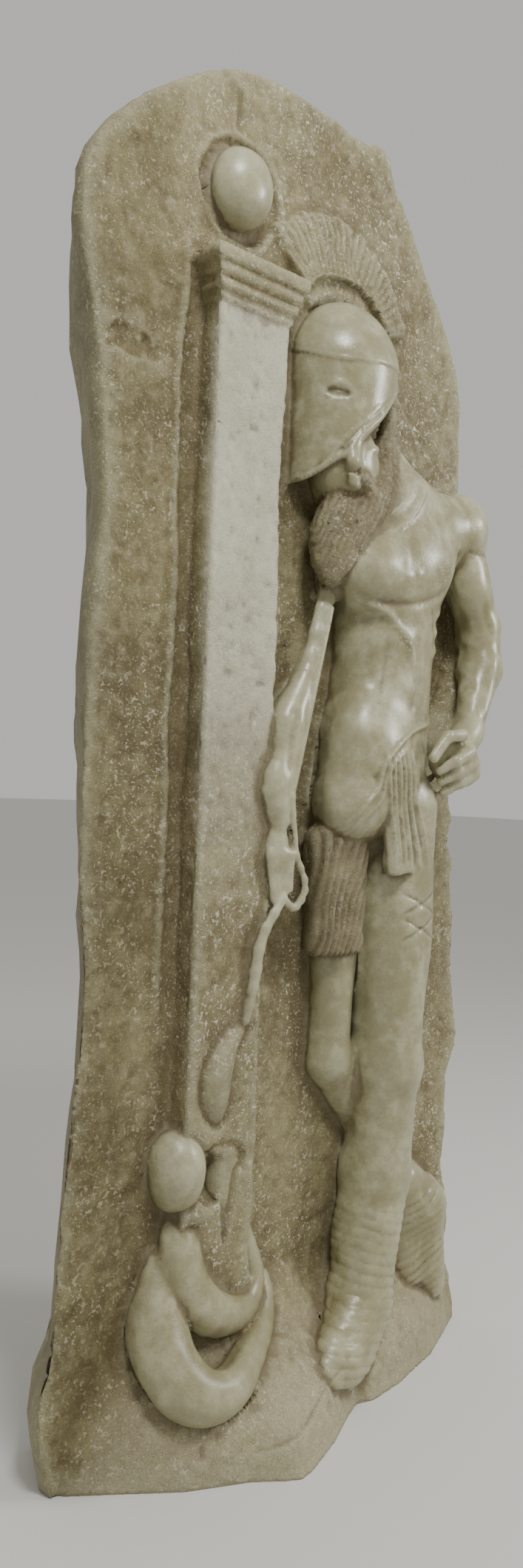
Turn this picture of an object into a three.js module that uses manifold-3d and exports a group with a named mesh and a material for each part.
// A carved stone grave stele: a rough-backed slab with an arched head, a square
// pillar carrying a ball, a leaning warrior with his legs crossed, and a coiled
// serpent-like form at the pillar's foot. Slab, plinth and carving are one stone.
//
// Millimetres, +Z up. The origin lies on the underside. X runs to the right along
// the front face, and the carving stands out of the slab towards -Y. In this file a
// place is written [across, out, up]: "out" is measured from the slab's front face.

import * as THREE from 'three';
import * as BufferGeometryUtils from 'three/addons/utils/BufferGeometryUtils.js';
import Module from 'manifold-3d';

const wasm = await Module();
wasm.setup();

// ---- driving dimensions ----

const SLAB = { thickness: 100, edge: 20, bevel: 62, centreX: 50 };
const PLINTH = { height: 46, shoulder: 62, run: 150, setback: 5 };
const GROOVE = { left: -142, right: -126, depth: 9, bottom: 235, top: 1290 };
const PILLAR = { left: -126, right: -42, out: 40, bottom: 40, top: 1292 };
const CAPITAL = { out: 51, height: 66, overhang: 25, steps: 4 };
const ORB = { centre: [-84, 10, 1407], radii: [39, 37, 35], halo: 13, haloDepth: 7 };
const CREST = { centre: [83, 1245], inner: 100, outer: 172, strands: 11, from: 36, to: 137, out: 14 };
const HELMET = { centre: [104, 2, 1240], radii: [80, 82, 86] };
const WRAP = { rings: 5, ridge: 3.5 };

// ---- the outline of the slab's front face, [across, up] ----

const LEFT_EDGE = [
  [-262, 0], [-284, 86], [-270, 176], [-262, 343], [-249, 510], [-262, 644],
  [-258, 855], [-250, 1035], [-267, 1180], [-286, 1297], [-281, 1336],
];
const ARCH = [[-224, 1415], [-140, 1487], [-66, 1524], [0, 1530], [67, 1543]];
const BROKEN_EDGE = [
  [112, 1530], [140, 1529], [170, 1537], [190, 1498], [196, 1484], [223, 1458], [262, 1404],
  [307, 1353], [344, 1296], [354, 1250], [352, 1150], [366, 1020], [358, 880], [366, 734],
  [382, 640], [388, 566], [402, 400], [383, 343], [385, 220], [407, 142], [391, 86],
  [396, 42], [428, 0],
];

// the plinth's lower edge seen from above, [across, out]
const PROW = [
  [-250, 3], [-208, 34], [-148, 80], [-83, 113], [-40, 145], [-18, 142], [46, 118],
  [127, 78], [173, 83], [257, 67], [372, 25], [424, 2],
];

// ---- the figure's joints, [across, out, up] ----

const BODY = {
  crown: [92, 0, 1195],
  nose: [44, 2, 1100],
  face: [112, 22, 1130],
  neck: [160, 18, 1130],
  collar: [196, 18, 1082],
  nearShoulder: [300, 42, 1080],
  nearElbow: [340, 50, 930],
  nearElbowBend: [338, 52, 895],
  nearWrist: [288, 82, 800],
  farShoulder: [86, 34, 1030],
  farElbow: [12, 20, 800],
  farWrist: [-4, 40, 715],
  farKnuckle: [-6, 44, 668],
  farFingers: [4, 42, 600],
  chest: [184, 30, 1028],
  belly: [158, 30, 860],
  hip: [160, 28, 740],
  standingHip: [206, 36, 715],
  standingKnee: [196, 48, 385],
  standingCalf: [186, 50, 245],
  standingAnkle: [132, 56, 105],
  standingToe: [66, 96, 78],
  crossedHip: [128, 22, 680],
  crossedKnee: [104, 18, 385],
  crossedCalf: [308, 16, 175],
  crossedAnkle: [324, 18, 95],
};

// ---- helpers ----

const place = ([across, out, up]) => new THREE.Vector3(across, -out, up);

function solid(geometry) {
  const bare = geometry.clone();
  bare.deleteAttribute('normal');
  bare.deleteAttribute('uv');
  const merged = BufferGeometryUtils.mergeVertices(bare, 1e-4);
  return new wasm.Manifold(new wasm.Mesh({
    numProp: 3,
    vertProperties: new Float32Array(merged.attributes.position.array),
    triVerts: new Uint32Array(merged.index.array),
  }));
}

function ball(centre, radii, tilt = 0, sides = 10, rows = 6) {
  const geometry = new THREE.SphereGeometry(1, sides, rows);
  geometry.rotateX(Math.PI / 2);
  geometry.scale(...radii);
  geometry.rotateY(THREE.MathUtils.degToRad(-tilt));
  const at = place(centre);
  geometry.translate(at.x, at.y, at.z);
  return solid(geometry);
}

// a limb with round ends, thicker at one end than at the other
function limb(from, to, startRadius, endRadius, sides = 9, capRows = 2) {
  const start = place(from);
  const span = place(to).sub(start);
  const length = span.length();
  const profile = [];
  for (let i = 0; i <= capRows; i += 1) {
    const a = (i / capRows) * (Math.PI / 2);
    const radius = i === 0 ? 0 : startRadius * Math.sin(a);
    profile.push(new THREE.Vector2(radius, -startRadius * Math.cos(a)));
  }
  for (let i = capRows; i >= 0; i -= 1) {
    const a = (i / capRows) * (Math.PI / 2);
    const radius = i === 0 ? 0 : endRadius * Math.sin(a);
    profile.push(new THREE.Vector2(radius, length + endRadius * Math.cos(a)));
  }
  const geometry = new THREE.LatheGeometry(profile, sides);
  const turn = new THREE.Quaternion().setFromUnitVectors(
    new THREE.Vector3(0, 1, 0),
    span.clone().normalize(),
  );
  geometry.applyQuaternion(turn);
  geometry.translate(start.x, start.y, start.z);
  return solid(geometry);
}

// a tube along a curve, with a radius for each place on it
function tapered(points, radiusAt, steps, sides = 8) {
  const curve = new THREE.CatmullRomCurve3(points.map(place));
  const frames = curve.computeFrenetFrames(steps);
  const rings = [];
  for (let i = 0; i <= steps; i += 1) {
    const centre = curve.getPointAt(i / steps);
    const radius = radiusAt(i / steps);
    const ring = [];
    for (let k = 0; k < sides; k += 1) {
      const a = (k / sides) * 2 * Math.PI;
      ring.push(centre.clone()
        .addScaledVector(frames.normals[i], radius * Math.cos(a))
        .addScaledVector(frames.binormals[i], radius * Math.sin(a)));
    }
    rings.push(ring);
  }
  return loft(rings, (p, k) => {
    const a = (k / sides) * 2 * Math.PI;
    return new THREE.Vector2(Math.cos(a), Math.sin(a));
  });
}

function block(left, right, back, out, bottom, top) {
  const geometry = new THREE.BoxGeometry(right - left, out - back, top - bottom);
  geometry.translate((left + right) / 2, -(out + back) / 2, (bottom + top) / 2);
  return solid(geometry);
}

// a plate cut to a flat outline of [across, up] and standing between two depths
function plate(outline, back, out) {
  const shape = new THREE.Shape(outline.map(([x, z]) => new THREE.Vector2(x, z)));
  const geometry = new THREE.ExtrudeGeometry(shape, { depth: out - back, bevelEnabled: false });
  geometry.rotateX(Math.PI / 2);
  geometry.translate(0, -back, 0);
  return solid(geometry);
}

// closes a stack of equal rings of points into one body; flat() lays the end rings out
function loft(rings, flat) {
  const count = rings[0].length;
  const positions = rings.flat().flatMap((p) => [p.x, p.y, p.z]);
  const index = [];
  for (let r = 0; r + 1 < rings.length; r += 1) {
    for (let i = 0; i < count; i += 1) {
      const a = r * count + i;
      const b = r * count + ((i + 1) % count);
      index.push(a, b, a + count, b, b + count, a + count);
    }
  }
  // end caps run with their ring at the last level and against it at the first
  const cap = (ring) => {
    const contour = ring.map(flat);
    const turn = Math.sign(THREE.ShapeUtils.area(contour));
    return THREE.ShapeUtils.triangulateShape(contour, []).map((face) => {
      const corners = face.map((i) => contour[i]);
      return Math.sign(THREE.ShapeUtils.area(corners)) === turn ? face : face.reverse();
    });
  };
  const last = (rings.length - 1) * count;
  for (const [a, b, c] of cap(rings[0])) index.push(a, c, b);
  for (const [a, b, c] of cap(rings[rings.length - 1])) index.push(last + a, last + b, last + c);
  const geometry = new THREE.BufferGeometry();
  geometry.setAttribute('position', new THREE.Float32BufferAttribute(positions, 3));
  geometry.setIndex(index);
  if (signedVolume(geometry) < 0) index.reverse();
  geometry.setIndex(index);
  return solid(geometry);
}

function signedVolume(geometry) {
  const position = geometry.attributes.position;
  const at = (i) => new THREE.Vector3().fromBufferAttribute(position, geometry.index.getX(i));
  let volume = 0;
  for (let i = 0; i < geometry.index.count; i += 3) {
    volume += at(i).dot(at(i + 1).cross(at(i + 2))) / 6;
  }
  return volume;
}

// ---- slab and plinth ----

function slab() {
  const smooth = (points, steps) => new THREE.SplineCurve(
    points.map(([x, z]) => new THREE.Vector2(x, z)),
  ).getPoints(steps);
  const outline = [
    ...smooth(LEFT_EDGE, 22),
    ...smooth(ARCH, 10),
    ...BROKEN_EDGE.map(([x, z]) => new THREE.Vector2(x, z)),
  ];
  const top = Math.max(...outline.map((p) => p.y));
  const ring = (depth, inset) => outline.map((p) => {
    const low = p.y < 1 ? 0 : 1;
    const away = new THREE.Vector2(p.x - SLAB.centreX, low * Math.max(0, p.y - top * 0.72));
    away.setLength(inset);
    return new THREE.Vector3(p.x - away.x, depth, p.y - away.y * low);
  });
  const rings = [ring(0, 0), ring(SLAB.edge, 0), ring(SLAB.thickness, SLAB.bevel)];
  return loft(rings, (p) => new THREE.Vector2(p.x, p.z));
}

function plinth() {
  const levels = [
    [0, 1, 0],
    [PLINTH.height, 1, PLINTH.setback],
    [PLINTH.shoulder, 0.72, PLINTH.setback * 2],
    [PLINTH.run, -0.06, PLINTH.setback * 4],
  ];
  const rings = levels.map(([up, reach, inset]) => {
    const front = PROW.map(([x, out]) => new THREE.Vector3(
      THREE.MathUtils.clamp(x, PROW[0][0] + inset, PROW[PROW.length - 1][0] - inset),
      -Math.max(out * reach, -4),
      up,
    ));
    const back = [[PROW[PROW.length - 1][0] - 60, up], [PROW[0][0] + 60, up]];
    return [...front, ...back.map(([x, z]) => new THREE.Vector3(x, SLAB.edge, z))];
  });
  return loft(rings, (p) => new THREE.Vector2(p.x, -p.y));
}

// ---- pillar, capital and ball ----

function pillar() {
  const shaft = block(PILLAR.left, PILLAR.right, -10, PILLAR.out, PILLAR.bottom, PILLAR.top);
  const stepHeight = CAPITAL.height / CAPITAL.steps;
  const mouldings = [];
  for (let i = 0; i < CAPITAL.steps; i += 1) {
    const reach = ((i + 1) / CAPITAL.steps) * CAPITAL.overhang;
    const out = PILLAR.out + ((i + 1) / CAPITAL.steps) * (CAPITAL.out - PILLAR.out);
    const bottom = PILLAR.top - CAPITAL.height + 48 + i * stepHeight;
    mouldings.push(block(
      PILLAR.left - reach,
      PILLAR.right + reach,
      -10,
      out,
      bottom,
      bottom + stepHeight + 0.01,
    ));
  }
  return wasm.Manifold.union([shaft, ...mouldings]);
}

function orb() {
  return ball(ORB.centre, ORB.radii, 0, 16, 10);
}

function orbHalo() {
  const radii = ORB.radii.map((r, i) => (i === 1 ? ORB.haloDepth : r + ORB.halo));
  return ball([ORB.centre[0], 0, ORB.centre[2]], radii, 0, 16, 8);
}

// ---- head ----

function helmet() {
  const dome = ball(HELMET.centre, HELMET.radii, 0, 16, 10);
  const mask = limb(BODY.crown, BODY.nose, 70, 20, 14, 3);
  const underRim = plate([[-60, 980], [300, 980], [300, 1350], [141, 1234], [82, 1162], [27, 1093], [-60, 1093]], -120, 120);
  const eye = ball([30, 74, 1196], [17, 12, 6], -18, 8, 6);
  return wasm.Manifold.union([dome, mask]).subtract(underRim).subtract(eye);
}

function crest() {
  const [cx, cz] = CREST.centre;
  const at = (degrees, radius) => {
    const a = THREE.MathUtils.degToRad(degrees);
    return [cx + radius * Math.cos(a), cz + radius * Math.sin(a)];
  };
  const reach = (t) => CREST.outer - 28 * (1 - t) ** 2;
  const inner = [];
  const outer = [];
  const ridges = [];
  for (let i = 0; i < CREST.strands; i += 1) {
    const t = i / (CREST.strands - 1);
    const degrees = THREE.MathUtils.lerp(CREST.from, CREST.to, t);
    const root = CREST.inner + 30 * (1 - t) ** 2;
    inner.push(at(degrees, root));
    outer.push(at(degrees, reach(t)));
    const [x0, z0] = at(degrees, root);
    const [x1, z1] = at(degrees, reach(t) - 4);
    ridges.push(limb([x0, CREST.out, z0], [x1, CREST.out - 3, z1], 3.2, 3.8, 5, 1));
  }
  const fan = plate([...inner, ...outer.reverse()], -10, CREST.out);
  const band = tapered(
    [[12, 14, 1304], [54, 26, 1334], [110, 30, 1338], [172, 22, 1312]],
    () => 9,
    5,
    6,
  );
  const tail = tapered(
    [[172, 16, 1300], [212, 10, 1240], [246, 10, 1190], [296, 8, 1140]],
    () => 9,
    5,
    6,
  );
  return wasm.Manifold.union([fan, band, tail, ...ridges]);
}

function head() {
  const face = ball(BODY.face, [44, 48, 62], 24, 10, 6);
  const nose = limb([66, 64, 1128], [56, 68, 1106], 7, 9, 6, 2);
  const locks = [];
  const rows = 4;
  for (let i = 0; i < rows; i += 1) {
    const t = i / (rows - 1);
    const across = THREE.MathUtils.lerp(128, 50, t);
    const up = THREE.MathUtils.lerp(1150, 975, t);
    const size = THREE.MathUtils.lerp(23, 28, Math.sin(t * Math.PI));
    locks.push(ball([across, 46 - 8 * t, up], [size * 1.25, size * 1.3, size * 1.25], 0, 8, 6));
    locks.push(ball([across - 34 + 16 * t, 44, up - 34], [size, size * 1.2, size], 0, 8, 6));
  }
  return wasm.Manifold.union([face, nose, ...locks]);
}

// ---- torso, arms and cloth ----

function torso() {
  const parts = [
    ball(BODY.chest, [90, 66, 84], 0, 12, 8),
    ball(BODY.belly, [86, 66, 120], 0, 12, 8),
    ball(BODY.hip, [96, 62, 76], 0, 12, 8),
    ball([208, 62, 1024], [50, 34, 42], 10),
    ball([122, 62, 1010], [46, 34, 40], -10),
    limb(BODY.neck, BODY.collar, 42, 50),
    limb(BODY.collar, BODY.nearShoulder, 46, 42),
  ];
  for (const up of [955, 905, 855]) {
    parts.push(ball([176, 78, up], [26, 22, 22], 0, 8, 6));
    parts.push(ball([122, 74, up - 6], [26, 22, 22], 0, 8, 6));
  }
  return wasm.Manifold.union(parts);
}

function arms() {
  const fingers = [];
  for (let i = 0; i < 4; i += 1) {
    const drop = 13 * i;
    fingers.push(limb([226, 104, 798 - drop], [200, 92, 792 - drop], 8.5, 7.5, 6, 2));
    fingers.push(limb([-22 + 8 * i, 56, 655], [-14 + 7 * i, 50, 606 - 3 * i], 6.5, 5, 6, 2));
  }
  return wasm.Manifold.union([
    ball(BODY.nearShoulder, [46, 44, 50], 0, 10, 6),
    limb(BODY.nearShoulder, BODY.nearElbow, 42, 34),
    limb(BODY.nearElbowBend, BODY.nearWrist, 33, 21),
    ball([240, 92, 777], [32, 26, 28], 0, 10, 6),
    limb(BODY.farShoulder, BODY.farElbow, 34, 24),
    limb(BODY.farElbow, BODY.farWrist, 24, 17),
    limb(BODY.farWrist, BODY.farKnuckle, 19, 20),
    limb(BODY.farKnuckle, BODY.farFingers, 18, 11),
    ...fingers,
  ]);
}

function cloth() {
  const hem = tapered(
    [[22, 44, 676], [32, 88, 678], [66, 100, 708], [96, 102, 762], [150, 98, 808], [210, 84, 830]],
    () => 8,
    9,
    6,
  );
  const folds = [];
  const foldCount = 7;
  for (let i = 0; i < foldCount; i += 1) {
    const t = i / (foldCount - 1);
    const top = [40 + 66 * t, 52 + 24 * t, 672 + 40 * t];
    const foot = [74 + 50 * t, 34 + 26 * t, 540];
    folds.push(limb(top, foot, 9, 12, 6, 2));
  }
  for (let i = 0; i < 4; i += 1) {
    folds.push(limb([128 + 9 * i, 94, 778], [160 + 16 * i, 88 - 4 * i, 648], 5, 8, 6, 2));
  }
  const skirt = limb([118, 24, 660], [112, 24, 566], 54, 46, 10, 2);
  return wasm.Manifold.union([hem, skirt, ...folds]);
}

// ---- legs ----

function wrappings(from, to, startRadius, endRadius) {
  const rings = [];
  for (let i = 0; i < WRAP.rings; i += 1) {
    const t = (i + 0.5) / WRAP.rings;
    const at = from.map((v, k) => THREE.MathUtils.lerp(v, to[k], t));
    const radius = THREE.MathUtils.lerp(startRadius, endRadius, t) + WRAP.ridge;
    rings.push(ball(at, [radius, radius, 9], 18, 10, 4));
  }
  return wasm.Manifold.union(rings);
}

function legs() {
  return wasm.Manifold.union([
    limb(BODY.standingHip, BODY.standingKnee, 57, 43, 10),
    ball([188, 62, 392], [34, 34, 40], 0, 10, 6),
    limb(BODY.standingKnee, BODY.standingCalf, 42, 49, 10),
    limb(BODY.standingCalf, BODY.standingAnkle, 48, 39, 10),
    limb(BODY.standingAnkle, BODY.standingToe, 38, 30, 10),
    wrappings(BODY.standingCalf, BODY.standingAnkle, 47, 39),
    limb(BODY.crossedHip, BODY.crossedKnee, 50, 30),
    limb(BODY.crossedKnee, BODY.crossedCalf, 30, 38),
    limb(BODY.crossedCalf, BODY.crossedAnkle, 42, 36),
    wrappings(BODY.crossedCalf, BODY.crossedAnkle, 40, 35),
  ]);
}

// ---- spear and serpent ----

function spear() {
  const shaft = limb([24, 68, 936], [-22, 58, 724], 6, 6, 6, 2);
  const lower = tapered(
    [[4, 50, 631], [-16, 48, 595], [-34, 44, 560], [-38, 34, 488], [-56, 34, 340]],
    () => 8,
    6,
    6,
  );
  const blade = plate([[-86, 314], [-44, 304], [-66, 188], [-76, 190]], -10, 30);
  return wasm.Manifold.union([shaft, lower, blade]);
}

function serpent() {
  const neck = tapered(
    [[-58, 40, 461], [-95, 44, 446], [-120, 44, 426], [-122, 40, 396], [-104, 34, 368]],
    () => 15,
    6,
  );
  const head = ball([-118, 16, 314], [37, 40, 42], 0, 14, 8);
  const notch = ball([-84, 46, 302], [16, 30, 20], 0, 8, 6);
  const inner = tapered(
    [[-118, 10, 258], [-126, 22, 226], [-112, 34, 186], [-72, 36, 158], [-28, 26, 156],
      [-6, 14, 184], [-22, 6, 234]],
    (t) => 16 + 12 * Math.sin(Math.PI * Math.min(1, t * 1.35)) * (1 - 0.55 * t),
    10,
  );
  const outer = tapered(
    [[-138, 4, 214], [-158, 14, 172], [-148, 26, 128], [-112, 34, 92], [-66, 34, 76],
      [-30, 22, 92], [-10, 12, 136]],
    (t) => 18 + 16 * Math.sin(Math.PI * Math.min(1, t * 1.2)) * (1 - 0.6 * t),
    10,
  );
  return wasm.Manifold.union([neck, head.subtract(notch), inner, outer]);
}

// ---- the whole stone ----

const ground = wasm.Manifold.union([slab(), plinth()])
  .subtract(block(GROOVE.left, GROOVE.right, -GROOVE.depth, 60, GROOVE.bottom, GROOVE.top))
  .subtract(orbHalo());
const carving = wasm.Manifold.union([
  pillar(), orb(), helmet(), crest(), head(), torso(), arms(), cloth(), legs(), spear(), serpent(),
]);
const aboveGround = block(-320, 460, -60, 260, 0, 1560);
const joined = wasm.Manifold.union([ground, carving.intersect(aboveGround)]);
// small pockets closed in between the carved forms are solid stone, so only the outer skin stays
const [stone] = joined.decompose().sort((a, b) => b.volume() - a.volume());
const { vertProperties, triVerts } = stone.getMesh();

const geometry = new THREE.BufferGeometry();
geometry.setAttribute('position', new THREE.BufferAttribute(new Float32Array(vertProperties), 3));
geometry.setIndex(new THREE.BufferAttribute(new Uint32Array(triVerts), 1));
geometry.computeVertexNormals();

const weatheredStone = new THREE.MeshStandardMaterial({
  color: 0x9d977f,
  roughness: 0.55,
  metalness: 0,
});
const stele = new THREE.Mesh(geometry, weatheredStone);
stele.name = 'stele';

const part = new THREE.Group();
part.add(stele);

export default part;
